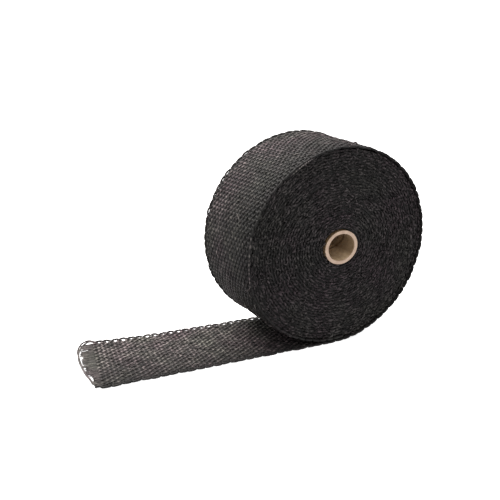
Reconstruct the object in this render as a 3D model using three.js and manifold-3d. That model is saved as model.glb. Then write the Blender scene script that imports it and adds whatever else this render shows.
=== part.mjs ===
// Roll of woven heat wrap tape on a cardboard core, with its loose end lying on the floor.
// Millimetres, +Z up. The roll's axis runs along Y and its visible end faces -Y.
// The origin is on the floor, under the roll's axis and halfway across the tape.
import * as THREE from 'three';
import { mergeVertices } from 'three/addons/utils/BufferGeometryUtils.js';
import Module from 'manifold-3d';

const wasm = await Module();
wasm.setup();

// Driving dimensions of the tape
const TAPE_WIDTH = 50;
const TAPE_THICKNESS = 1.7;
const TURNS = 29;
const TURN_GROOVE_DEPTH = 1;
const TAIL_LENGTH = 146.5;
const TAIL_CUT_SLANT = 12.4;

// How far the roll's weight flattens it on the floor, how deep its last turn sits in the one below,
// and how far past the axis the tail runs into that turn
const FLOOR_SAG = 0.3;
const LAST_TURN_BITE = 0.3;
const TAIL_ROOT = 2;

// Driving dimensions of the cardboard core
const CORE_DIAMETER = 21.6;
const CORE_WALL = 2.1;
const CORE_STAND_OUT = 0.5;
const CORE_CLEARANCE = 0.3;

// How the roll has settled: by these shares it is wider and lower than a round one, at the core
// and at the outside, and its core lies to one side of the middle
const CORE_SQUASH = 0.056;
const ROLL_SQUASH = 0.021;
const CORE_SHIFT = 1.5;

// How finely round shapes are divided
const ROLL_SEGMENTS = 32;
const CORE_SEGMENTS = 48;

// Worked out from the driving dimensions
const tapeBoreRadius = CORE_DIAMETER / 2 + CORE_CLEARANCE;
const woundRadius = tapeBoreRadius + TURNS * TAPE_THICKNESS;
const outerRadius = woundRadius + TAPE_THICKNESS;
const axisHeight = outerRadius * (1 - ROLL_SQUASH) - FLOOR_SAG;

function toSolid(geometry) {
  const bare = geometry.clone();
  bare.deleteAttribute('normal');
  bare.deleteAttribute('uv');
  const merged = mergeVertices(bare, 1e-4);
  return new wasm.Manifold(new wasm.Mesh({
    numProp: 3,
    vertProperties: new Float32Array(merged.attributes.position.array),
    triVerts: new Uint32Array(merged.index.array),
  }));
}

function toGeometry(solid) {
  const mesh = solid.getMesh();
  const geometry = new THREE.BufferGeometry();
  geometry.setAttribute('position', new THREE.BufferAttribute(mesh.vertProperties, 3));
  geometry.setIndex(new THREE.BufferAttribute(mesh.triVerts, 1));
  geometry.computeVertexNormals();
  return geometry;
}

// Turns a closed profile about the Y axis. A profile point is a radius and a place along the axis.
function turned(profile, segments) {
  const points = [...profile, profile[0]].map(([radius, along]) => new THREE.Vector2(radius, along));
  return new THREE.LatheGeometry(points, segments);
}

function toShape(outline) {
  return new THREE.Shape(outline.map(([first, second]) => new THREE.Vector2(first, second)));
}

// Where a point of a perfectly round roll, seen along its axis, lies in the settled one
function settled(x, z) {
  const depth = (outerRadius - Math.hypot(x, z)) / (outerRadius - tapeBoreRadius);
  const share = THREE.MathUtils.clamp(depth, 0, 1);
  const squash = THREE.MathUtils.lerp(ROLL_SQUASH, CORE_SQUASH, share);
  return [x * (1 + squash) + CORE_SHIFT * share, z * (1 - squash)];
}

function settle(geometry) {
  const place = geometry.attributes.position;
  for (let vertex = 0; vertex < place.count; vertex++) {
    const [x, z] = settled(place.getX(vertex), place.getZ(vertex));
    place.setXYZ(vertex, x, place.getY(vertex), z);
  }
  return geometry;
}

// One end of the wound turns, from the bore outwards: a crest for each turn, a groove between turns
function turnEdges() {
  const crest = TAPE_WIDTH / 2;
  const groove = crest - TURN_GROOVE_DEPTH;
  const edges = [[tapeBoreRadius, groove]];
  for (let turn = 0; turn < TURNS; turn++) {
    const turnBore = tapeBoreRadius + turn * TAPE_THICKNESS;
    edges.push([turnBore + TAPE_THICKNESS / 2, crest]);
    edges.push([turnBore + TAPE_THICKNESS, groove]);
  }
  return edges;
}

function woundTurns() {
  const backEnd = turnEdges();
  const frontEnd = backEnd.map(([radius, along]) => [radius, -along]);
  return toSolid(settle(turned([...frontEnd, ...backEnd.reverse()], ROLL_SEGMENTS)));
}

// The last turn starts at the tail, under the axis, and runs once around the wound turns.
// Its outside is a spiral that comes down to the turn below just before it is round.
function lastTurn() {
  const outside = [];
  const inside = [];
  const steps = ROLL_SEGMENTS - 1;
  for (let step = 0; step <= steps; step++) {
    const angle = -Math.PI / 2 + step * 2 * Math.PI / ROLL_SEGMENTS;
    const direction = [Math.cos(angle), Math.sin(angle)];
    const spiralRadius = woundRadius + TAPE_THICKNESS * (1 - step / steps);
    outside.push(direction.map((part) => part * spiralRadius));
    inside.push(direction.map((part) => part * (woundRadius - LAST_TURN_BITE)));
  }
  const sideView = toShape([...outside, ...inside.reverse()]);
  const ring = new THREE.ExtrudeGeometry(sideView, { depth: TAPE_WIDTH, bevelEnabled: false });
  ring.rotateX(Math.PI / 2);
  ring.translate(0, TAPE_WIDTH / 2, 0);
  return toSolid(settle(ring));
}

// Seen from above, the tail is a straight strip with a slightly slanted cut.
// It starts below the floor, where it is trimmed together with the roll.
function tail() {
  const half = TAPE_WIDTH / 2;
  const planView = toShape([
    [TAIL_ROOT, -half],
    [TAIL_ROOT, half],
    [TAIL_CUT_SLANT - TAIL_LENGTH, half],
    [-TAIL_LENGTH, -half],
  ]);
  const depth = TAPE_THICKNESS + FLOOR_SAG;
  const strip = new THREE.ExtrudeGeometry(planView, { depth, bevelEnabled: false });
  strip.translate(0, 0, -FLOOR_SAG);
  return toSolid(strip);
}

// What the floor flattens: everything of the roll and the tail that would lie lower than its surface
function belowFloor() {
  const reach = 2 * (outerRadius + TAIL_LENGTH);
  const slab = new THREE.BoxGeometry(reach, 2 * TAPE_WIDTH, TAPE_WIDTH);
  slab.translate(0, 0, -TAPE_WIDTH / 2);
  return toSolid(slab);
}

function wrapTape() {
  const roll = woundTurns().add(lastTurn()).translate([0, 0, axisHeight]);
  return roll.add(tail()).subtract(belowFloor());
}

function coreTube() {
  const outer = CORE_DIAMETER / 2;
  const inner = outer - CORE_WALL;
  const half = TAPE_WIDTH / 2 + CORE_STAND_OUT;
  return settle(turned([[inner, -half], [outer, -half], [outer, half], [inner, half]], CORE_SEGMENTS));
}

const tapeMaterial = new THREE.MeshStandardMaterial({ color: 0x2b2a29, roughness: 0.75, metalness: 0 });
const cardMaterial = new THREE.MeshStandardMaterial({ color: 0xb89d80, roughness: 0.9, metalness: 0 });

const tape = new THREE.Mesh(toGeometry(wrapTape()), tapeMaterial);
tape.name = 'wrap_tape';

const core = new THREE.Mesh(coreTube(), cardMaterial);
core.name = 'core_tube';
core.position.z = axisHeight;

const group = new THREE.Group();
group.add(tape, core);

export default group;
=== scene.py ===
"""A roll of black woven glass-fibre heat wrap on a cardboard core, with its loose end lying on the floor.

Metres, +Z up. The roll's axis runs along Y, its visible end faces -Y and its tail runs to -X.
Every yarn is placed in the tape's own coordinates: s along it, v across it and w through it.
"""
import math

import bpy
import numpy as np
from mathutils import Matrix, Vector


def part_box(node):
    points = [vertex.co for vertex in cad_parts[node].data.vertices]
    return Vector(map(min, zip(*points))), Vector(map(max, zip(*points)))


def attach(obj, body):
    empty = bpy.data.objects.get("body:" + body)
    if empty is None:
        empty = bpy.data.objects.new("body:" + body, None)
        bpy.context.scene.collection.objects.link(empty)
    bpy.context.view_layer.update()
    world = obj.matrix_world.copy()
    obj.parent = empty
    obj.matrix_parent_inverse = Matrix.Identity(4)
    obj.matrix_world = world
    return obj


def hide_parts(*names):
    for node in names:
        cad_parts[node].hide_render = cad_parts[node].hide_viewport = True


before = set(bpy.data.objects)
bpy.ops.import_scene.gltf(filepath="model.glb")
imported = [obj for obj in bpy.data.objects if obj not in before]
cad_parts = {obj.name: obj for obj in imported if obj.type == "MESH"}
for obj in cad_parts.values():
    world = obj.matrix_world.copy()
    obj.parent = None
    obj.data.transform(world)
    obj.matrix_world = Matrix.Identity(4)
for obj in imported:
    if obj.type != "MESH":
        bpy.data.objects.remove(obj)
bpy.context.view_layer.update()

rng = np.random.default_rng(7)

# Sizes that the frame gives
tape_low, tape_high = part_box("wrap_tape")
core_low, core_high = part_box("core_tube")
axis_height = (core_low.z + core_high.z) / 2
core_shift = (core_low.x + core_high.x) / 2
core_radius = (core_high.x - core_low.x + core_high.z - core_low.z) / 4
core_half = core_high.y
half_width = tape_high.y
tail_end = tape_low.x

# The tape and how it is wound
TURN_PITCH = 0.0017
CORE_CLEARANCE = 0.0003
CORE_WALL = 0.0021
TAIL_CUT_SLANT = 0.0124
FLOOR_SAG = 0.0003
FLOOR_GAP = 0.00002
CORE_SQUASH = 0.056
ROLL_SQUASH = 0.021
outer_radius = (axis_height + FLOOR_SAG) / (1 - ROLL_SQUASH)
root_radius = outer_radius - TURN_PITCH / 2
bore_radius = core_radius + CORE_CLEARANCE
cut_middle = tail_end + TAIL_CUT_SLANT / 2

# The weave: warp yarns run along the tape, and one weft yarn goes to and fro across it.
# Each of its passes is a pick
WARPS = 28
NEAR_WARP = -0.0232
FAR_WARP = 0.0219
WARP_HALF_WIDTH = 0.00070
WARP_HALF_HEIGHT = 0.00042
WARP_CRIMP = 0.00046
WARP_SLANT = 0.00034
PICK_PITCH = 0.00258
WEFT_HALF_WIDTH = 0.00080
WEFT_HALF_HEIGHT = 0.00034
WEFT_CRIMP = 0.00026
TAIL_SKEW = 0.11
ROLL_SKEW = 0.07
END_SKEW = 0.125
END_LIFT = 0.0026
END_REACH = 0.025
warp_pitch = (FAR_WARP - NEAR_WARP) / (WARPS - 1)
near_edge = NEAR_WARP - warp_pitch / 2
far_edge = FAR_WARP + warp_pitch / 2

# The whole cloth's unevenness: how far its edges and its surface wander
EDGE_WANDER = 0.00025
SURFACE_WANDER = 0.00015

# The weft's turns at the two edges: how far they reach outwards, how much wider they are than the gap
# between two picks, and how thick they are
TAIL_NEAR_BULGE = 0.0017
ROLL_NEAR_BULGE = 0.0011
TAIL_FAR_BULGE = 0.0026
ROLL_FAR_BULGE = 0.0024
NEAR_WIDENING = 0.0026
TAIL_FAR_WIDENING = 0.0022
ROLL_FAR_WIDENING = 0.0032
LOOP_RADIUS = 0.00068
LOOP_STAND_OUT = 0.0003

# What differs between the tail and the roll changes over these lengths
ROLL_BLEND = 0.03
FLOOR_BLEND = 0.02

# On the roll the last turn's far edge flares outwards a little, from a place on the tape to its edge
FAR_FLARE = 0.0006
FAR_FLARE_START = 0.019
FAR_FLARE_WIDTH = 0.006

# How much lighter or darker parts of the cloth are. In painted shade the roll is darker than the tail, the
# near edge darker than the rest, and the weft's turns at the edges darker than the warp yarns. On the roll
# the far edge is lighter
ROLL_PAINTED_SHADE = 0.54
EDGE_PAINTED_SHADE = 0.74
EDGE_DARK_START = 0.009
EDGE_DARK_WIDTH = 0.033
EDGE_DARK_POWER = 1.3
FAR_LIGHTENING = 0.4
FAR_LIGHT_START = 0.012
FAR_LIGHT_WIDTH = 0.011
LOOP_PAINTED_SHADE = 0.3

# The near edges of the outer turns bend inwards, most of all on the roll's left side.
# The bend starts some way round the roll, and edges that stick out bend a little further
EDGE_BEND = 0.0012
EDGE_BEND_START = 0.018
EDGE_BEND_TURNS = 8
EDGE_BEND_LEVEL = 0.5
EDGE_BEND_SWING = 0.7
EDGE_BEND_ROOT = 0.8
PAST_EDGE = 1.2

# The cut end, where each warp yarn spreads into a few strands
FRINGE_PLACES = (-0.0247, -0.0141, -0.0100, -0.0018, 0.0082, 0.0206, 0.0250)
FRINGE_LENGTHS = (0.0018, 0.0028, 0.0056, 0.0067, 0.0074, 0.0066, 0.0050)
FRINGE_RAGGED = 0.00025
FRINGE_ROOT = 0.0010
FRINGE_WAVE = 0.00012
FRINGE_LIFT = 0.00030
FRINGE_HEIGHT = 0.0001
FRINGE_SPREAD = 0.82
FRINGE_DARK_WIDTH = 0.0075
FRINGE_DARK_BLEND = 0.002
STRANDS = 4
STRAND_RADIUS = 0.00034

YARN_SIDES = 6


def smooth_noise(count, waves, seed):
    """A smooth function of one number, made of sines whose phases are seeded."""
    source = np.random.default_rng(seed)
    lengths = waves * source.uniform(0.6, 1.7, count)
    phases = source.uniform(0, 2 * math.pi, count)

    def value(place):
        angles = np.asarray(place)[..., None] * 2 * math.pi / lengths + phases
        return np.sin(angles).mean(-1) * math.sqrt(count) / math.sqrt(2)

    return value


edge_wander = smooth_noise(5, 0.03, 11)
surface_wander = smooth_noise(6, 0.022, 12)


# The tape's own coordinates


def turn_angle(s):
    """How far round the roll a length s of tape reaches. The roll's radius falls by its pitch each turn."""
    wound = np.maximum(s, 0)
    inside = np.sqrt(root_radius ** 2 - TURN_PITCH * wound / math.pi)
    return (root_radius - inside) * 2 * math.pi / TURN_PITCH


def wound_length(angle):
    return root_radius * angle - TURN_PITCH * angle ** 2 / (4 * math.pi)


def settled(x, z):
    """Where a point of a perfectly round roll, seen along its axis, lies in the settled one."""
    share = np.clip((outer_radius - np.hypot(x, z)) / (outer_radius - bore_radius), 0, 1)
    squash = ROLL_SQUASH + (CORE_SQUASH - ROLL_SQUASH) * share
    return x * (1 + squash) + core_shift * share, axis_height + z * (1 - squash)


def on_tape(s, v, w):
    """A point of the tape. s is 0 under the axis, negative on the tail and positive round the roll.

    w is 0 halfway through the tape and points up on the tail, which is inwards on the roll.
    """
    angle = turn_angle(s)
    radius = root_radius - TURN_PITCH * angle / (2 * math.pi)
    x, z = settled(radius * np.sin(angle), -radius * np.cos(angle))
    z = np.maximum(z, TURN_PITCH / 2)
    x = np.where(s < 0, s, x - w * np.sin(angle))
    z = np.where(s < 0, TURN_PITCH / 2 + w, z + w * np.cos(angle))
    return np.stack([x, v, np.maximum(z, FLOOR_GAP)], -1)


def tape_up(s):
    angle = turn_angle(s)
    return np.stack([-np.sin(angle), np.zeros_like(angle), np.cos(angle)], -1)


def end_share(s):
    """1 at the cut end, fading along the tail."""
    return np.exp(-np.maximum(s - cut_middle, 0) / END_REACH)


def roll_share(s):
    """0 on the tail, rising to 1 a little way round the roll."""
    return np.clip(s / ROLL_BLEND, 0, 1)


def near_roll_share(s):
    """0 on the tail, rising to 1 where it meets the roll."""
    return np.clip(s / ROLL_BLEND + 1, 0, 1)


def skewed(s, v):
    """The weft leans a little everywhere, and more near the cut end."""
    lean = TAIL_SKEW + (ROLL_SKEW - TAIL_SKEW) * roll_share(s)
    return s + (lean + END_SKEW * end_share(s)) * v


def edge_bend(angle, v):
    """How far the near edge of a turn bends inwards."""
    side = np.clip(EDGE_BEND_LEVEL - EDGE_BEND_SWING * np.sin(angle), 0, 1)
    side = side * np.clip(angle / EDGE_BEND_ROOT, 0, 1)
    outward = (-v - EDGE_BEND_START) / (half_width - EDGE_BEND_START)
    return EDGE_BEND * side * np.clip(outward, 0, PAST_EDGE) ** 2


def far_flare(s, v):
    """How far the last turn's far edge flares outwards on the roll."""
    outward = np.clip((v - FAR_FLARE_START) / FAR_FLARE_WIDTH, 0, PAST_EDGE)
    return FAR_FLARE * outward ** 2 * roll_share(s)


def cloth_painted_shade(s, v):
    """The cloth's lightness along and across it: painted shade makes it darker on the roll and towards the
    near edge, and on the roll it is lighter towards the far edge.
    """
    along = 1 - (1 - ROLL_PAINTED_SHADE) * near_roll_share(s)
    lighter = FAR_LIGHTENING * np.clip((v - FAR_LIGHT_START) / FAR_LIGHT_WIDTH, 0, 1) * roll_share(s)
    darker = EDGE_PAINTED_SHADE * np.clip((EDGE_DARK_START - v) / EDGE_DARK_WIDTH, 0, 1) ** EDGE_DARK_POWER
    return along * (1 + lighter - darker)


def on_cloth(s, v, w):
    """A point of the tape with the skew of its weave and the unevenness of the whole cloth."""
    far_share = (v / half_width + 1) / 2
    lift = END_LIFT * end_share(s) * far_share ** 2
    s = skewed(s, v)
    v = v + EDGE_WANDER * edge_wander(s)
    tail_only = np.clip(-s / FLOOR_BLEND, 0, 1)
    w = w + lift + SURFACE_WANDER * surface_wander(s + 2 * v) * tail_only
    w = w + edge_bend(turn_angle(s), v) - far_flare(s, v)
    return on_tape(s, v, w)


# Shapes. Each is its vertices, its four-sided faces, and a fibre coordinate and a shade for each vertex.
# The shade sets the colour's lightness: random tone, and in many pieces painted shade and painted
# highlights


def tubes(places, ups, half_wide, half_high, shade=1.0, ridge_highlight=0.0, sides=YARN_SIDES, spin=0.0):
    """Closed tubes, one for each row of places.

    The fibre coordinates run along a tube and turn about its middle by spin radians a metre.
    With a ridge of 1 only the upper and lower sides of a tube are light, a painted highlight, and its
    flanks are dark with painted shade.
    """
    count, rings = places.shape[:2]
    along = np.gradient(places, axis=1)
    along /= np.linalg.norm(along, axis=-1, keepdims=True)
    across = np.cross(along, ups)
    across /= np.linalg.norm(across, axis=-1, keepdims=True)
    lift = np.cross(across, along)
    wide = np.broadcast_to(half_wide, (count, rings))[:, :, None, None]
    high = np.broadcast_to(half_high, (count, rings))[:, :, None, None]
    turns = (np.arange(sides) + 0.5) * 2 * math.pi / sides
    outward = across[:, :, None] * np.cos(turns)[:, None] * wide
    upward = lift[:, :, None] * np.sin(turns)[:, None] * high
    vertices = places[:, :, None] + (outward + upward)

    steps = np.linalg.norm(np.diff(places, axis=1), axis=-1)
    length = np.concatenate([np.zeros((count, 1)), np.cumsum(steps, 1)], 1)[:, :, None]
    around = turns + spin * length
    radius = (wide + high)[..., 0] / 2
    starts = rng.uniform(0, 10, (count, 1, 1))
    fibre_parts = np.broadcast_arrays(length + starts, radius * np.cos(around), radius * np.sin(around))
    fibre = np.stack(fibre_parts, -1)

    first = (np.arange(count)[:, None] * rings + np.arange(rings)) * sides
    here = first[:, :-1, None] + np.arange(sides)
    beside = first[:, :-1, None] + (np.arange(sides) + 1) % sides
    walls = np.stack([here, here + sides, beside + sides, beside], -1).reshape(-1, 4)
    fan = np.array([[0, k, k + 1, k + 2] for k in range(1, sides - 2, 2)])
    start_caps = (first[:, 0, None, None] + fan).reshape(-1, 4)
    end_caps = (first[:, -1, None, None] + fan[:, ::-1]).reshape(-1, 4)
    faces = np.concatenate([walls, start_caps, end_caps])
    # Painted highlight on the upper and lower sides, painted shade on the flanks
    shades = np.broadcast_to(shade, (count, rings))[:, :, None] * (1 - ridge_highlight * np.cos(turns) ** 2)
    return vertices.reshape(-1, 3), faces, fibre.reshape(-1, 3), shades.ravel()


def joined(first, second):
    """Two shapes as one."""
    vertices = np.concatenate([first[0], second[0]])
    faces = np.concatenate([first[1], second[1] + len(first[0])])
    fibre = np.concatenate([first[2], second[2]])
    shades = np.concatenate([first[3], second[3]])
    return vertices, faces, fibre, shades


def plain(vertices, faces, shades=None):
    """A shape whose material needs no fibre coordinates, so its vertices stand in for them."""
    vertices = vertices.reshape(-1, 3)
    if shades is None:
        shades = np.ones(len(vertices))
    return vertices, faces, vertices, shades.ravel()


def round_faces(segments, count, closed=True):
    """The faces between copies of a profile of count points, turned all the way round."""
    first = np.arange(segments)[:, None] * count
    after = (np.arange(segments)[:, None] + 1) % segments * count
    here = np.arange(count if closed else count - 1)
    beside = (here + 1) % count
    return np.stack([first + here, first + beside, after + beside, after + here], -1).reshape(-1, 4)


def make_piece(name, shape, material):
    vertices, faces, fibre, shades = shape
    mesh = bpy.data.meshes.new(name)
    mesh.vertices.add(len(vertices))
    mesh.vertices.foreach_set("co", vertices.ravel())
    mesh.loops.add(faces.size)
    mesh.loops.foreach_set("vertex_index", faces.ravel())
    mesh.polygons.add(len(faces))
    mesh.polygons.foreach_set("loop_start", np.arange(len(faces)) * 4)
    mesh.update(calc_edges=True)
    mesh.shade_smooth()
    mesh.attributes.new("fibre", "FLOAT_VECTOR", "POINT").data.foreach_set("vector", fibre.ravel())
    mesh.attributes.new("shade", "FLOAT", "POINT").data.foreach_set("value", shades)
    mesh.materials.append(material)
    piece = bpy.data.objects.new(name, mesh)
    bpy.context.collection.objects.link(piece)
    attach(piece, "root")
    return piece


# Materials


def new_material(name, roughness):
    material = bpy.data.materials.new(name)
    material.use_nodes = True
    nodes = material.node_tree.nodes
    shader = nodes["Principled BSDF"]
    shader.inputs["Roughness"].default_value = roughness
    return material, nodes, material.node_tree.links, shader


def add_noise(nodes, links, coordinates, scale, detail):
    noise = nodes.new("ShaderNodeTexNoise")
    noise.inputs["Scale"].default_value = scale
    noise.inputs["Detail"].default_value = detail
    noise.inputs["Roughness"].default_value = 0.6
    links.new(coordinates, noise.inputs["Vector"])
    return noise.outputs["Fac"]


def add_stretched_noise(nodes, links, coordinates, scale, detail):
    """Noise with a scale of its own along each axis."""
    mapping = nodes.new("ShaderNodeMapping")
    mapping.inputs["Scale"].default_value = scale
    links.new(coordinates, mapping.inputs["Vector"])
    return add_noise(nodes, links, mapping.outputs["Vector"], 1, detail)


def add_ramp(nodes, links, factor, stops):
    ramp = nodes.new("ShaderNodeValToRGB")
    while len(ramp.color_ramp.elements) < len(stops):
        ramp.color_ramp.elements.new(0.5)
    for element, (position, colour) in zip(ramp.color_ramp.elements, stops):
        element.position = position
        element.color = (*colour, 1)
    links.new(factor, ramp.inputs["Fac"])
    return ramp.outputs["Color"]


def add_mix(nodes, links, kind, factor, first, second):
    mix = nodes.new("ShaderNodeMix")
    mix.data_type = "RGBA"
    mix.blend_type = kind
    colours = [socket for socket in mix.inputs if socket.type == "RGBA"]
    if isinstance(factor, float):
        mix.inputs["Factor"].default_value = factor
    else:
        links.new(factor, mix.inputs["Factor"])
    links.new(first, colours[0])
    links.new(second, colours[1])
    return [socket for socket in mix.outputs if socket.type == "RGBA"][0]


def add_bump(nodes, links, height, strength, distance):
    bump = nodes.new("ShaderNodeBump")
    bump.inputs["Strength"].default_value = strength
    bump.inputs["Distance"].default_value = distance
    links.new(height, bump.inputs["Height"])
    return bump.outputs["Normal"]


def add_attribute(nodes, name, output):
    attribute = nodes.new("ShaderNodeAttribute")
    attribute.attribute_name = name
    return attribute.outputs[output]


def add_math(nodes, links, operation, first, second):
    maths = nodes.new("ShaderNodeMath")
    maths.operation = operation
    for socket, value in zip(maths.inputs, (first, second)):
        if isinstance(value, float):
            socket.default_value = value
        else:
            links.new(value, socket)
    return maths.outputs["Value"]


def add_contrast(nodes, links, pattern, amount):
    """A pattern round 0.5, stretched by an amount, moved so that it is round 1, and never quite black."""
    darkest = 0.05
    stretched = add_math(nodes, links, "MULTIPLY", pattern, amount)
    moved = add_math(nodes, links, "ADD", stretched, 1 - amount / 2)
    return add_math(nodes, links, "MAXIMUM", moved, darkest)


TINTS = [(0.36, (1, 0.81, 0.90)), (0.5, (1, 0.94, 0.94)), (0.64, (0.87, 0.91, 0.82))]


def yarn_material(name, dark, light, grain, roughness):
    """Glass-fibre yarn: filaments and streaks along it, and grain, patches and tints over all of it. Its
    lightness starts from the shade attribute, which carries painted shade and painted highlights.
    """
    material, nodes, links, shader = new_material(name, roughness)
    fibre = add_attribute(nodes, "fibre", "Vector")
    place = nodes.new("ShaderNodeTexCoord").outputs["Object"]
    filaments = add_stretched_noise(nodes, links, fibre, (350, 9000, 9000), 3)
    streaks = add_stretched_noise(nodes, links, fibre, (260, 2500, 2500), 2)
    crumbs = add_noise(nodes, links, place, 650, 4)
    patches = add_noise(nodes, links, place, 130, 4)
    blotches = add_noise(nodes, links, place, 34, 3)
    # The shade attribute brings painted shade and painted highlights into the colour
    lightness = add_attribute(nodes, "shade", "Fac")
    for pattern, amount in ((streaks, 2.4), (crumbs, grain), (patches, 2.4)):
        contrast = add_contrast(nodes, links, pattern, amount)
        lightness = add_math(nodes, links, "MULTIPLY", lightness, contrast)
    colour = add_ramp(nodes, links, lightness, [(0.0, dark), (1.0, light)])
    tint = add_ramp(nodes, links, blotches, TINTS)
    links.new(add_mix(nodes, links, "MULTIPLY", 1.0, colour, tint), shader.inputs["Base Color"])
    shader.inputs["Specular IOR Level"].default_value = 0.22
    links.new(add_bump(nodes, links, filaments, 0.5, 0.0002), shader.inputs["Normal"])
    return material


def dark_tape_and_gap_shade_material():
    """The dark inside of the tape that shows between its yarns and between the turns' edges: the tape's own
    black, darkened further by painted shade in those gaps.
    """
    material, nodes, links, shader = new_material("dark_tape_and_gap_shade", 0.85)
    place = nodes.new("ShaderNodeTexCoord").outputs["Object"]
    grain = add_noise(nodes, links, place, 900, 4)
    colour = add_ramp(nodes, links, grain, [(0.3, (0.005, 0.005, 0.005)), (0.7, (0.018, 0.017, 0.0165))])
    links.new(colour, shader.inputs["Base Color"])
    links.new(add_bump(nodes, links, grain, 0.8, 0.0006), shader.inputs["Normal"])
    return material


# A shade of the core: 1 at its cut ends, BORE_SHADE where its bore is light, and 0 where it is darkest.
# Below BORE_SHADE it is darkened: painted shade in the upper bore and on the core's outside, and the seam's
# own dark line
BORE_SHADE = 0.5


def cardboard_material(name, end_low, end_high, bore_low, bore_high):
    """Cardboard: fibres and faint mottling, pale at the cut ends and browner in the bore. A low shade
    darkens it, for painted shade and for the dark seam.
    """
    material, nodes, links, shader = new_material(name, 0.88)
    place = nodes.new("ShaderNodeTexCoord").outputs["Object"]
    shade = add_attribute(nodes, "shade", "Fac")
    mottle = add_noise(nodes, links, place, 420, 5)
    fibres = add_stretched_noise(nodes, links, place, (2400, 500, 2400), 3)
    ends = add_ramp(nodes, links, mottle, [(0.3, end_low), (0.7, end_high)])
    bore = add_ramp(nodes, links, mottle, [(0.3, bore_low), (0.7, bore_high)])
    at_end = add_ramp(nodes, links, shade, [(0.55, (0, 0, 0)), (0.9, (1, 1, 1))])
    colour = add_mix(nodes, links, "MIX", at_end, bore, ends)
    # Painted shade in the upper bore and on the core's outside, and the seam's darker line
    painted_dimming = add_ramp(nodes, links, shade, [(0.0, (0.30, 0.25, 0.20)), (BORE_SHADE, (1, 1, 1))])
    colour = add_mix(nodes, links, "MULTIPLY", 1.0, colour, painted_dimming)
    grain = add_ramp(nodes, links, fibres, [(0.3, (0.84, 0.82, 0.80)), (0.65, (1, 1, 1))])
    links.new(add_mix(nodes, links, "MULTIPLY", 1.0, colour, grain), shader.inputs["Base Color"])
    shader.inputs["Specular IOR Level"].default_value = 0.25
    links.new(add_bump(nodes, links, fibres, 0.5, 0.0002), shader.inputs["Normal"])
    return material


tape_yarn = yarn_material("tape_yarn", (0.0045, 0.0042, 0.0043), (0.235, 0.214, 0.206), 4.2, 0.5)
# The yarn on the roll's ends is a darker copy of the tape yarn: painted shade
end_yarn_painted_shade = yarn_material("end_yarn_painted_shade", (0.0022, 0.0020, 0.0021), (0.076, 0.068, 0.070), 5.0, 0.6)
loose_yarn = yarn_material("loose_yarn", (0.012, 0.011, 0.0108), (0.155, 0.143, 0.138), 2.6, 0.5)
dark_tape_and_gap_shade = dark_tape_and_gap_shade_material()
core_board = cardboard_material(
    "core_board", (0.50, 0.36, 0.275), (0.66, 0.50, 0.39), (0.50, 0.36, 0.22), (0.70, 0.53, 0.34)
)


# The yarns. The tail's start at the fringe, and the last turn's end between the roll and the tail
ROOT_OVERLAP = 0.1
TAIL_FIRST_PICK = -53
PAST_FIRST_PICK = 0.4
weave_start = (TAIL_FIRST_PICK - PAST_FIRST_PICK) * PICK_PITCH
last_turn_end = wound_length(2 * math.pi + ROOT_OVERLAP)
last_pick = math.floor(last_turn_end / PICK_PITCH)

# How uneven the warp yarns are: their place across and through the tape, their width and their shade
WARP_UNEVEN_ACROSS = 0.00012
WARP_UNEVEN_THROUGH = 0.00007
WARP_UNEVEN_WIDTH = 0.10
WARP_UNEVEN_SHADE = 0.38

# How far a pick lies from its even place along the tape
PICK_SPREAD = 0.00010


def uneven(s, size, seed):
    """A small change for each warp yarn, which varies smoothly along it."""
    places, start = 4096, 400
    table = np.random.default_rng(seed).normal(0, size, (WARPS + 2, places))
    yarn = np.arange(WARPS)[:, None]
    place = s / PICK_PITCH + start
    base = np.floor(place).astype(int)
    part = place - base
    return table[yarn, base] * (1 - part) + table[yarn, base + 1] * part


def warp_shape(start, end, steps_per_pick):
    """All the warp yarns between two places along the tape, over and under the picks in turn."""
    rings = int(round((end - start) / (PICK_PITCH / steps_per_pick))) + 1
    s = np.broadcast_to(start + (end - start) * np.linspace(0, 1, rings), (WARPS, rings))
    yarn = np.arange(WARPS)[:, None]
    phase = math.pi * (s / PICK_PITCH + yarn)
    v = NEAR_WARP + yarn * warp_pitch + WARP_SLANT * np.sin(2 * phase)
    v = v + uneven(s, WARP_UNEVEN_ACROSS, 21)
    w = WARP_CRIMP * np.cos(phase) + uneven(s, WARP_UNEVEN_THROUGH, 22)
    width = WARP_HALF_WIDTH * (1 + uneven(s, WARP_UNEVEN_WIDTH, 23))
    # Painted highlight on each warp yarn's crests and painted shade between them, sharper on the roll;
    # yarn_shade is a random tone for each yarn
    crown_highlight = (np.abs(np.cos(phase)) ** 1.2) ** (1 + near_roll_share(s))
    yarn_shade = np.clip(0.85 + uneven(s, WARP_UNEVEN_SHADE, 24), 0.12, 1.8)
    shade = cloth_painted_shade(s, v) * (0.04 + 0.96 * crown_highlight) * yarn_shade
    return tubes(on_cloth(s, v, w), tape_up(s), width, WARP_HALF_HEIGHT, shade, ridge_highlight=0.75, spin=600)


def weft_turn(pick):
    """Where the weft turns back after a pick, how far it reaches outwards there and how much it widens."""
    on_tail = pick < 0
    if pick % 2 == 0:
        bulge = TAIL_FAR_BULGE if on_tail else ROLL_FAR_BULGE
        widening = TAIL_FAR_WIDENING if on_tail else ROLL_FAR_WIDENING
        return far_edge, bulge, widening
    bulge = TAIL_NEAR_BULGE if on_tail else ROLL_NEAR_BULGE
    return near_edge, -bulge, NEAR_WIDENING


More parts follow.
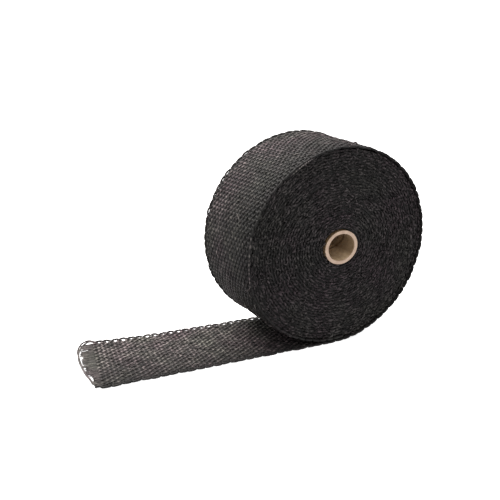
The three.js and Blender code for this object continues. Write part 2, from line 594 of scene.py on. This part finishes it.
def weft_path(first, last, steps_per_warp):
    """The weft yarn from pick first to pick last, to and fro, with its turn at each edge."""
    s_parts, v_parts, w_parts, crown_highlight_parts = [], [], [], []
    across = np.linspace(near_edge, far_edge, WARPS * steps_per_warp + 1)
    turn = np.linspace(0, math.pi, 10)[1:-1]
    for pick in range(first, last + 1):
        v = across if pick % 2 == 0 else across[::-1]
        phase = math.pi * (pick + (v - NEAR_WARP) / warp_pitch)
        s_parts.append(np.full_like(v, pick * PICK_PITCH + rng.normal(0, PICK_SPREAD)))
        v_parts.append(v)
        w_parts.append(-WEFT_CRIMP * np.cos(phase))
        # The weft is kept darker than the warp yarns with painted shade, lighter on its crests in a painted
        # highlight, with a random tone for each pick
        crown_highlight_parts.append((0.05 + 0.32 * np.cos(phase) ** 2) * rng.uniform(0.6, 1.4))

        edge, bulge, widening = weft_turn(pick)
        stand_out = 0 if pick < 0 else LOOP_STAND_OUT
        reach = PICK_PITCH / 2 + widening * rng.uniform(0.8, 1.1) * np.sin(turn)
        s_parts.append((pick + 0.5) * PICK_PITCH - reach * np.cos(turn))
        v_parts.append(edge + bulge * rng.uniform(0.85, 1.1) * np.sin(turn))
        tilt = rng.uniform(0.0001, 0.0003) * (1 if pick % 4 < 2 else -1)
        w_parts.append(-stand_out * np.sin(turn) - tilt * np.cos(turn))
        # The turns at the edges: dark with painted shade, with a painted highlight at their outer tips and
        # a random tone for each
        crown_highlight_parts.append(LOOP_PAINTED_SHADE * rng.uniform(0.3, 1.7) * (0.2 + 0.8 * np.sin(turn) ** 2))
    return tuple(np.concatenate(parts) for parts in (s_parts, v_parts, w_parts, crown_highlight_parts))


def weft_shape(first, last, steps_per_warp):
    """The weft yarn, which is flat between the warp yarns and round in its turns."""
    rounding = 0.0008
    s, v, w, crown_highlight = weft_path(first, last, steps_per_warp)
    past_warps = np.abs(v - (NEAR_WARP + FAR_WARP) / 2) - (FAR_WARP - NEAR_WARP) / 2
    beyond = np.clip(past_warps / rounding, 0, 1)
    wide = WEFT_HALF_WIDTH + (LOOP_RADIUS - WEFT_HALF_WIDTH) * beyond
    high = WEFT_HALF_HEIGHT + (LOOP_RADIUS - WEFT_HALF_HEIGHT) * beyond
    shade = cloth_painted_shade(s, v) * crown_highlight
    return tubes(on_cloth(s, v, w)[None], tape_up(s)[None], wide, high, shade, ridge_highlight=0.6, spin=900)


tail_warp = make_piece("tail_warp_yarns", warp_shape(weave_start, 0, 5), tape_yarn)
tail_weft = make_piece("tail_weft_yarn", weft_shape(TAIL_FIRST_PICK, -1, 3), tape_yarn)
roll_warp = make_piece("roll_warp_yarns", warp_shape(0, last_turn_end, 3.5), tape_yarn)
roll_weft = make_piece("roll_weft_yarn", weft_shape(0, last_pick, 2), tape_yarn)


def fringe_shape():
    """The warp yarns beyond the last pick, spread into strands that gather in uneven bundles."""
    count = WARPS * STRANDS
    column = (count, 1)
    share = np.linspace(0, 1, 9)
    yarn = np.arange(count) // STRANDS
    v = NEAR_WARP + (np.arange(count) + 0.5 - STRANDS / 2) * warp_pitch / STRANDS
    breaks = np.sort(rng.choice(np.arange(1, WARPS), WARPS // 2, replace=False))
    bundle = np.searchsorted(breaks, yarn, side="right")
    middles = np.array([v[bundle == number].mean() for number in range(bundle.max() + 1)])
    tip_v = middles[bundle] + (v - middles[bundle]) * FRINGE_SPREAD
    length = np.interp(v, FRINGE_PLACES, FRINGE_LENGTHS)
    length = length + rng.normal(0, FRINGE_RAGGED, count)
    length = length + rng.normal(0, FRINGE_RAGGED, len(middles))[bundle]
    dark_share = np.clip((NEAR_WARP + FRINGE_DARK_WIDTH - v) / FRINGE_DARK_BLEND, 0, 1)[:, None]
    s = weave_start - length[:, None] * (1 - share) + FRINGE_ROOT * share
    wave = rng.normal(0, FRINGE_WAVE, column) * np.sin(share * 5 + rng.uniform(0, 6, column))
    v = v[:, None] + (tip_v - v)[:, None] * (1 - share) ** 0.7 + wave
    lift = FRINGE_LIFT * np.sin(share * math.pi + rng.uniform(0, 6, column)) * (1 - share)
    radius = STRAND_RADIUS * (0.6 + 0.4 * np.sin(np.clip(share * 4, 0, 1) * math.pi / 2))
    shade = rng.uniform(0.12, 0.75, column) * (1 - 0.6 * share ** 2) * (1 - 0.7 * dark_share)
    places = on_cloth(s, v, lift + FRINGE_HEIGHT)
    return tubes(places, tape_up(s), radius * 1.1, radius * 0.9, shade, spin=300)


fringe = make_piece("cut_end_fringe", fringe_shape(), loose_yarn)


# Loose threads

THREAD_RINGS = 60
LOOSE_STRAND_RADIUS = 0.00052
RIM_THREAD_RADIUS = 0.00026

# The weft yarn that came out of the cut end: two strands round the fringe, from its far corner
# to its near one
OUTER_STRAND = [
    (-0.1299, 0.0240, 0.0030), (-0.1336, 0.0262, 0.0036), (-0.1371, 0.0254, 0.0032),
    (-0.1402, 0.0221, 0.0027), (-0.1427, 0.0172, 0.0022), (-0.1436, 0.0130, 0.0018),
    (-0.1448, 0.0062, 0.0014), (-0.1456, -0.0007, 0.0011), (-0.1462, -0.0078, 0.0010),
    (-0.1458, -0.0151, 0.0009), (-0.1459, -0.0197, 0.0008), (-0.1440, -0.0232, 0.0008),
]
INNER_STRAND = [
    (-0.1297, 0.0230, 0.0030), (-0.1336, 0.0250, 0.0034), (-0.1368, 0.0236, 0.0030),
    (-0.1399, 0.0203, 0.0025), (-0.1422, 0.0165, 0.0021), (-0.1440, 0.0119, 0.0023),
    (-0.1452, 0.0067, 0.0018), (-0.1457, 0.0011, 0.0015), (-0.1462, -0.0059, 0.0013),
    (-0.1461, -0.0126, 0.0012), (-0.1457, -0.0180, 0.0011), (-0.1435, -0.0226, 0.0009),
]

# Pale threads on the visible end near its rim, the last of them a small tuft on top
LEFT_RIM_THREAD = [
    (-0.0602, -0.0262, 0.0724), (-0.0607, -0.0264, 0.0657), (-0.0608, -0.0264, 0.0588),
    (-0.0602, -0.0263, 0.0513), (-0.0591, -0.0262, 0.0442),
]
UPPER_RIM_THREAD = [(-0.0362, -0.0262, 0.1060), (-0.0302, -0.0265, 0.1106), (-0.0246, -0.0262, 0.1136)]
TOP_TUFT = [(0.0010, -0.0246, 0.1194), (0.0041, -0.0256, 0.1220), (0.0072, -0.0250, 0.1190)]


def thread_shape(routes, radius, shade):
    """Thin threads, each on a smooth curve through a few points."""
    lines = []
    for route in routes:
        points = np.array(route)
        knots = np.concatenate([[0], np.cumsum(np.linalg.norm(np.diff(points, axis=0), axis=1))])
        tangents = np.gradient(points, knots, axis=0)
        places = np.linspace(0, knots[-1], THREAD_RINGS)
        span = np.clip(np.searchsorted(knots, places, side="right") - 1, 0, len(knots) - 2)
        size = (knots[span + 1] - knots[span])[:, None]
        part = (places - knots[span])[:, None] / size
        lines.append(
            (1 + 2 * part) * (1 - part) ** 2 * points[span]
            + part * (1 - part) ** 2 * size * tangents[span]
            + part ** 2 * (3 - 2 * part) * points[span + 1]
            + part ** 2 * (part - 1) * size * tangents[span + 1]
        )
    lines = np.array(lines)
    not_along_any = np.broadcast_to([0.05, 0.1, 1.0], lines.shape)
    return tubes(lines, not_along_any, radius, radius, shade, spin=1500)


loose_weft_shape = thread_shape([OUTER_STRAND, INNER_STRAND], LOOSE_STRAND_RADIUS, 0.55)
loose_weft = make_piece("loose_weft_end", loose_weft_shape, loose_yarn)

# The threads' lightness varies along them in painted glints
rim_glints = np.clip(0.25 + 1.3 * smooth_noise(3, 6, 51)(np.arange(THREAD_RINGS)), 0.03, 1.2)
rim_routes = [LEFT_RIM_THREAD, UPPER_RIM_THREAD, TOP_TUFT]
rim_threads_shape = thread_shape(rim_routes, RIM_THREAD_RADIUS, rim_glints)
make_piece("rim_threads", rim_threads_shape, loose_yarn)


# The tape between its yarns, as one thin strip from the cut end to the end of the last turn. Its near-black
# colour is the tape's own dark with painted shade in the gaps between the yarns

STRIP_THICKNESS = 0.0003
STRIP_STEPS = 420
STRIP_POINTS_ACROSS = 17
STRIP_PAST_WEAVE = 0.0030
STRIP_PAST_NEAR_WARP = 0.0013
STRIP_PAST_FAR_WARP = 0.0004
STRIP_WIDER_ON_ROLL = 0.0020


def strip_shape():
    s = np.linspace(weave_start - STRIP_PAST_WEAVE, last_turn_end, STRIP_STEPS)[:, None]
    low = NEAR_WARP - STRIP_PAST_NEAR_WARP
    high = FAR_WARP + STRIP_PAST_FAR_WARP + STRIP_WIDER_ON_ROLL * np.clip(s / FLOOR_BLEND, 0, 1)
    v = low + (high - low) * np.linspace(0, 1, STRIP_POINTS_ACROSS)
    s = np.broadcast_to(s, v.shape)
    top = on_cloth(s, v, np.full_like(v, STRIP_THICKNESS / 2))
    bottom = on_cloth(s, v, np.full_like(v, -STRIP_THICKNESS / 2))
    vertices = np.concatenate([top, bottom[:, ::-1]], 1)

    around = 2 * STRIP_POINTS_ACROSS
    first = np.arange(STRIP_STEPS - 1)[:, None] * around
    here = first + np.arange(around)
    beside = first + (np.arange(around) + 1) % around
    walls = np.stack([here, here + around, beside + around, beside], -1).reshape(-1, 4)
    k = np.arange(STRIP_POINTS_ACROSS - 1)
    start = np.stack([k, k + 1, around - 2 - k, around - 1 - k], -1)
    end = (start + (STRIP_STEPS - 1) * around)[:, ::-1]
    return plain(vertices, np.concatenate([walls, start, end]))


tape_strip = make_piece("tape_strip", strip_shape(), dark_tape_and_gap_shade)


# The wound turns below the last one: a dark ringed body, near black with painted shade in the recesses
# between the turns' edges, and on both its ends the looped edge of every turn

BODY_SEGMENTS = 120
BODY_DEPTH = 0.0014
BODY_GROOVE = 0.0010
BACK_STAND_OUT = 0.0009
EDGE_LOOP_RADIUS = 0.0005
EDGE_LOOP_DEPTH = 0.0026
EDGE_WARP_DEPTH = 0.0016
EDGE_WARP_SWING = 0.0006
EDGE_WARP_ROUGHNESS = 0.00035
EDGE_WARP_SWAY = 0.00042
EDGE_WARP_HALF_WIDTH = 0.00058
EDGE_WARP_HALF_HEIGHT = 0.00050
wound_turns_count = (root_radius - TURN_PITCH / 2 - bore_radius) / TURN_PITCH
wound_end = wound_length(2 * math.pi * wound_turns_count)


def wound_body_shape():
    edge = half_width - BODY_DEPTH
    radii = [bore_radius]
    depths = [edge - BODY_GROOVE]
    for turn in range(int(wound_turns_count)):
        inner = bore_radius + turn * TURN_PITCH
        radii += [inner + TURN_PITCH * 0.25, inner + TURN_PITCH * 0.75, inner + TURN_PITCH]
        depths += [edge, edge, edge - BODY_GROOVE]
    radii = np.array(radii + radii[::-1])
    depths = np.array([-depth for depth in depths] + depths[::-1])
    angle = np.arange(BODY_SEGMENTS)[:, None] * 2 * math.pi / BODY_SEGMENTS
    x, z = settled(radii * np.cos(angle), radii * np.sin(angle))
    vertices = np.stack(np.broadcast_arrays(x, depths, z), -1)
    return plain(vertices, round_faces(BODY_SEGMENTS, len(radii)))


def wound_bend(s, v):
    """How far an edge of a wound turn bends inwards: less and less from the outermost turn inwards."""
    angle = turn_angle(s)
    outer_turns = np.clip(1 - (angle / (2 * math.pi) - 1) / EDGE_BEND_TURNS, 0, 1)
    return edge_bend(angle, v) * outer_turns


def edge_loops(side, seed, sides):
    """One end of every turn below the last: the weft's turns, and between them the outermost warp."""
    source = np.random.default_rng(seed)
    start = last_turn_end - 0.003
    regular = np.arange(start, wound_end, 2 * PICK_PITCH)[:, None]
    column = regular.shape
    centres = regular + source.normal(0, 0.0005, column)
    turn = np.linspace(-0.3, math.pi + 0.3, 8)
    edge = half_width + (BACK_STAND_OUT if side > 0 else 0)
    peak = edge - LOOP_RADIUS + source.uniform(-0.0008, 0.0004, column)
    base = edge - EDGE_LOOP_DEPTH
    reach = PICK_PITCH / 2 + source.uniform(-0.0004, 0.0008, column) * (0.3 + 0.7 * np.sin(turn))
    s = centres - reach * np.cos(turn)
    v = side * (base + (peak - base) * np.sin(turn))
    lean = source.choice([-1, 1], column) * source.uniform(0.0001, 0.0008, column)
    w = lean * np.cos(turn) + source.normal(0, 0.00032, column) + wound_bend(s, v)
    thickness = EDGE_LOOP_RADIUS * source.uniform(0.75, 1.25, column)
    # Painted highlight at each loop's outer tip and painted shade at its base, with a random tone for each
    # loop
    shade = source.uniform(0.12, 1.0, column) * (0.15 + 0.85 * np.sin(turn) ** 2)
    loops = tubes(on_tape(s, v, w), tape_up(s), thickness, thickness, shade, sides=sides, spin=900)

    s = np.arange(start, wound_end, PICK_PITCH / 3)
    outward = -np.cos(math.pi * (s - start) / PICK_PITCH)
    rough = smooth_noise(9, 0.004, seed + 1)(s)
    sway = smooth_noise(9, 0.006, seed + 2)(s)
    thick = 1 + 0.25 * smooth_noise(7, 0.005, seed + 3)(s)
    # A random tone along the warp, with a painted highlight where it bends furthest out and in, and painted
    # shade between
    light = np.clip(0.45 + 0.35 * smooth_noise(9, 0.005, seed + 4)(s), 0.05, 1)
    shade = light * (0.3 + 0.7 * outward ** 2)
    v = side * (edge - EDGE_WARP_DEPTH + EDGE_WARP_SWING * outward + EDGE_WARP_ROUGHNESS * rough)
    w = EDGE_WARP_SWAY * sway + wound_bend(s, v)
    wide = EDGE_WARP_HALF_WIDTH * thick
    high = EDGE_WARP_HALF_HEIGHT * thick
    warp = tubes(on_tape(s, v, w)[None], tape_up(s)[None], wide, high, shade, sides=4, spin=600)
    return joined(loops, warp)


wound_body = make_piece("wound_turns", wound_body_shape(), dark_tape_and_gap_shade)
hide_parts("wrap_tape")
make_piece("front_turn_edges", edge_loops(-1, 31, 6), end_yarn_painted_shade)
make_piece("back_turn_edges", edge_loops(1, 32, 4), end_yarn_painted_shade)


# Short stray filaments on the cloth and on the visible end

FACE_FILAMENTS = 1900
CLOTH_FILAMENTS = 500
FILAMENT_HEIGHT = 0.00085


def filaments(centres, spans, bends, seed):
    """Short bent filaments, each given by its middle, half its span and its bend, in tape coordinates."""
    source = np.random.default_rng(seed)
    column = (len(centres), 1)
    along = np.linspace(-1, 1, 5)[:, None]
    path = centres[:, None] + along * spans[:, None] + (1 - along ** 2) * bends[:, None]
    s, v, w = np.moveaxis(path, -1, 0)
    lines = on_tape(s, v, w + edge_bend(turn_angle(s), v))
    radius = source.uniform(0.00012, 0.00026, column)
    shade = 1.5 * source.uniform(0.1, 1.0, column) ** 2
    not_along_any = tape_up(s) + np.array([0.03, 0.02, 0.01])
    return tubes(lines, not_along_any, radius, radius, shade, sides=4)


def face_filaments(count, seed):
    source = np.random.default_rng(seed)
    heading = source.uniform(0, math.pi, count)
    half = source.uniform(0.0003, 0.0011, count)
    curve = half * source.uniform(-0.9, 0.9, count)
    flat = np.zeros(count)
    centres = np.stack([
        source.uniform(last_turn_end, wound_end, count),
        -(half_width + source.uniform(-0.0004, 0.0004, count)),
        source.normal(0, 0.0006, count),
    ], -1)
    spans = np.stack([half * np.cos(heading), flat, half * np.sin(heading)], -1)
    bends = np.stack([-curve * np.sin(heading), flat, curve * np.cos(heading)], -1)
    return filaments(centres, spans, bends, seed + 1)


def cloth_filaments(count, seed):
    source = np.random.default_rng(seed)
    heading = source.normal(0, 0.7, count)
    half = source.uniform(0.0008, 0.0020, count)
    curve = half * source.uniform(-0.5, 0.5, count)
    s = source.uniform(weave_start + 0.004, last_turn_end * 0.97, count)
    outside = np.where(s < 0, 1, -1)
    v = source.uniform(NEAR_WARP, FAR_WARP, count)
    centres = np.stack([s, v, outside * FILAMENT_HEIGHT], -1)
    spans = np.stack([half * np.cos(heading), half * np.sin(heading), np.zeros(count)], -1)
    bends = np.stack([-curve * np.sin(heading), curve * np.cos(heading), outside * 0.15 * half], -1)
    return filaments(centres, spans, bends, seed + 1)


make_piece("end_filaments", face_filaments(FACE_FILAMENTS, 41), end_yarn_painted_shade)
tape_filaments = make_piece("tape_filaments", cloth_filaments(CLOTH_FILAMENTS, 43), loose_yarn)


# The cardboard core. The seam of its spiral paper shows in the bore, whose upper part is darker with
# painted shade, as is the core's outside under the tape

CORE_SEGMENTS = 144
CORE_CHAMFER = 0.00018
SEAM_PITCH = 0.039
SEAM_START = 0.811
SEAM_WIDTH = 0.018
SEAM_DEPTH = 0.0007
# How light the upper bore is kept against its lower part, in painted shade
DARK_BORE_SHARE = 0.3


def core_shape():
    bore = core_radius - CORE_WALL
    middle = np.linspace(-core_half + 3 * CORE_CHAMFER, core_half - 3 * CORE_CHAMFER, 60)
    inside = np.concatenate([[-core_half + CORE_CHAMFER], middle, [core_half - CORE_CHAMFER]])
    outside = inside[[-1, -2, 1, 0]]
    wall = np.linspace(bore + CORE_CHAMFER, core_radius - CORE_CHAMFER, 7)
    bore_radii = np.full(len(inside), bore)
    outside_radii = np.full(len(outside), core_radius)
    far_end = np.full(len(wall), core_half)
    radii = np.concatenate([bore_radii, wall, outside_radii, wall[::-1]])
    along = np.concatenate([inside, far_end, outside, -far_end])
    in_bore = radii < bore + CORE_CHAMFER / 2

    angle = np.arange(CORE_SEGMENTS)[:, None] * 2 * math.pi / CORE_SEGMENTS
    past_seam = np.mod(angle / (2 * math.pi) + along / SEAM_PITCH + SEAM_START, 1) - 0.5
    seam = np.exp(-(past_seam / SEAM_WIDTH) ** 2) * in_bore
    radius = radii + SEAM_DEPTH * seam
    x, z = settled(radius * np.cos(angle), radius * np.sin(angle))
    vertices = np.stack(np.broadcast_arrays(x, along, z), -1)
    # Painted shade: the upper part of the bore is darker, and the core's outside is darkest
    low_share = np.clip((-np.sin(angle) - 0.5) / 0.25, 0, 1)
    bore_painted_shade = BORE_SHADE * (DARK_BORE_SHARE + (1 - DARK_BORE_SHARE) * low_share) * (1 - seam) * in_bore
    shades = np.where(np.abs(along) > core_half - 2 * CORE_CHAMFER, 1.0, bore_painted_shade)
    return plain(vertices, round_faces(CORE_SEGMENTS, len(radii))[:, ::-1], shades)


core = make_piece("cardboard_core", core_shape(), core_board)
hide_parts("core_tube")


# The camera, at the photograph's place, for a square picture of PICTURE_SIDE pixels
CAMERA_PLACE = Vector((-0.25483, -0.35782, 0.18643))
CAMERA_YAW = math.radians(30.37)
CAMERA_PITCH = math.radians(17.40)
CAMERA_ROLL = math.radians(-3.15)
PICTURE_SIDE = 500
FOCAL_PIXELS = 749.3

# The floor: the radius of its flat part, the radius of the curve round that, and the backdrop's height
FLOOR_FLAT = 2.5
FLOOR_CURVE = 0.8
BACKDROP_HEIGHT = 2.2
FLOOR_MIDDLE = 0.02
FLOOR_SEGMENTS = 64


def add_camera():
    forward = Vector((
        math.sin(CAMERA_YAW) * math.cos(CAMERA_PITCH),
        math.cos(CAMERA_YAW) * math.cos(CAMERA_PITCH),
        -math.sin(CAMERA_PITCH),
    ))
    level = Vector((math.cos(CAMERA_YAW), -math.sin(CAMERA_YAW), 0))
    down = forward.cross(level)
    right = math.cos(CAMERA_ROLL) * level + math.sin(CAMERA_ROLL) * down
    down = math.cos(CAMERA_ROLL) * down - math.sin(CAMERA_ROLL) * level
    camera = bpy.data.objects.new("camera", bpy.data.cameras.new("camera"))
    turn = Matrix((right, -down, -forward)).transposed().to_4x4()
    camera.matrix_world = Matrix.Translation(CAMERA_PLACE) @ turn
    camera.data.lens = camera.data.sensor_width * FOCAL_PIXELS / PICTURE_SIDE
    camera.data.clip_start = 0.01
    bpy.context.collection.objects.link(camera)
    bpy.context.scene.camera = camera


def add_floor():
    """A pale studio floor whose rim curves up into a backdrop all round."""
    bend = np.linspace(0, math.pi / 2, 9)[1:]
    curve_radii = FLOOR_FLAT + FLOOR_CURVE * np.sin(bend)
    curve_heights = FLOOR_CURVE * (1 - np.cos(bend))
    radii = np.concatenate([[FLOOR_MIDDLE, FLOOR_FLAT], curve_radii, [FLOOR_FLAT + FLOOR_CURVE]])
    heights = np.concatenate([[0, 0], curve_heights, [BACKDROP_HEIGHT]])
    angle = np.arange(FLOOR_SEGMENTS)[:, None] * 2 * math.pi / FLOOR_SEGMENTS
    vertices = np.stack(np.broadcast_arrays(radii * np.cos(angle), radii * np.sin(angle), heights), -1)
    faces = round_faces(FLOOR_SEGMENTS, len(radii), closed=False).tolist()
    innermost = [segment * len(radii) for segment in range(FLOOR_SEGMENTS)]
    faces.append(innermost[::-1])
    mesh = bpy.data.meshes.new("floor")
    mesh.from_pydata(vertices.reshape(-1, 3).tolist(), [], faces)
    mesh.shade_smooth()
    material, nodes, links, shader = new_material("floor_paper", 0.9)
    shader.inputs["Base Color"].default_value = (0.9, 0.9, 0.9, 1)
    shader.inputs["Emission Color"].default_value = (1, 1, 1, 1)
    shader.inputs["Emission Strength"].default_value = 0.8
    mesh.materials.append(material)
    floor = bpy.data.objects.new("floor", mesh)
    floor.visible_diffuse = False
    floor.visible_glossy = False
    bpy.context.collection.objects.link(floor)


def add_softbox():
    light = bpy.data.lights.new("top_softbox", "AREA")
    light.color = (1, 0.96, 0.93)
    light.shape = "DISK"
    light.size = 0.9
    light.energy = 20
    place = Vector((-0.30, 0.35, 0.97))
    target = Vector((-0.02, 0, 0.05))
    lamp = bpy.data.objects.new("top_softbox", light)
    lamp.location = place
    lamp.rotation_euler = (target - place).to_track_quat("-Z", "Y").to_euler()
    bpy.context.collection.objects.link(lamp)


def add_world():
    world = bpy.data.worlds.new("studio")
    world.use_nodes = True
    background = world.node_tree.nodes["Background"]
    background.inputs["Color"].default_value = (1, 1, 1, 1)
    background.inputs["Strength"].default_value = 0.95
    bpy.context.scene.world = world


bpy.context.scene.view_settings.view_transform = "Standard"
add_camera()
add_floor()
add_world()
add_softbox()
